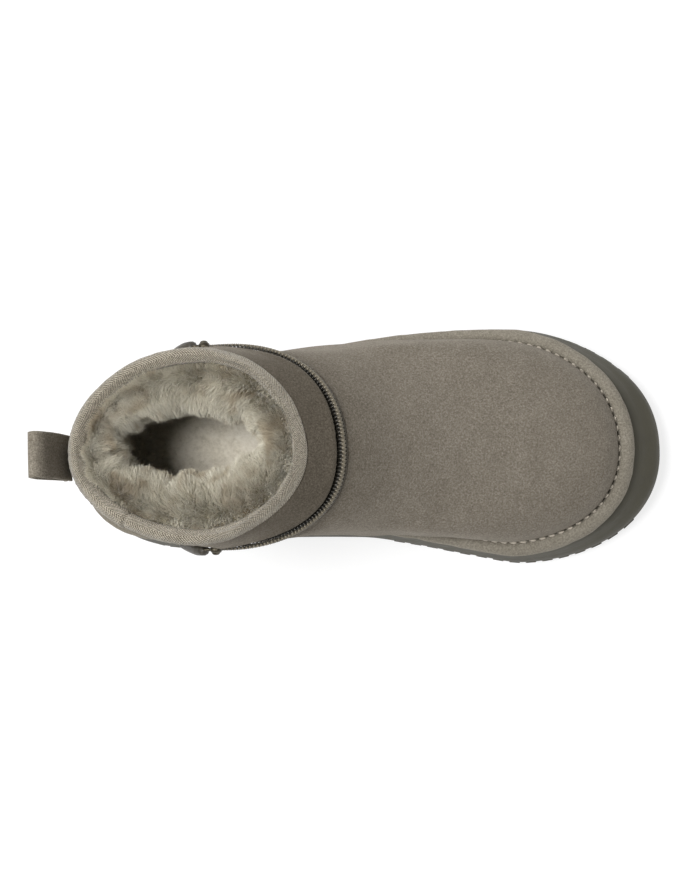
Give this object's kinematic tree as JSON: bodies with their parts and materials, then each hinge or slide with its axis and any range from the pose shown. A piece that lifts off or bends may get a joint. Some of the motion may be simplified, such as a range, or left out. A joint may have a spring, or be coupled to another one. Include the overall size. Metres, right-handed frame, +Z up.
{
  "type": "sheepskin boot",
  "caption": "Low left ankle boot in taupe suede over sheepskin, with knitted tape at the collar, a coil zip round the shaft, a suede rand, a heel loop and a flared dark platform sole.",
  "frame": {"origin": "On the floor under the middle of the heel's contact patch", "axes": "+X runs forward from heel to toe, +Y to the outer (lateral) side of the left foot, +Z up"},
  "size_m": [0.2631, 0.1073, 0.1414],
  "materials": {
    "outsole": "satin moulded foam rubber",
    "suede_rand": "brushed suede",
    "suede": "brushed suede over fleece",
    "felt": "felted wool",
    "knit_tape": "herringbone knit",
    "zip_coil": "nylon coil on woven tape",
    "zip_metal": "dark plated",
    "leather": "smooth, slight sheen"
  },
  "bodies": {
    "root": {"platform_sole": "outsole", "rand": "suede_rand", "upper": "suede", "insole": "felt", "collar_binding": "knit_tape", "zip_chain": "zip_coil", "zip_slider_lateral": "zip_metal", "zip_slider_medial": "zip_metal", "zip_pull_lateral": "leather", "zip_pull_medial": "leather", "heel_pull_loop": "suede"}
  },
  "joints": []
}
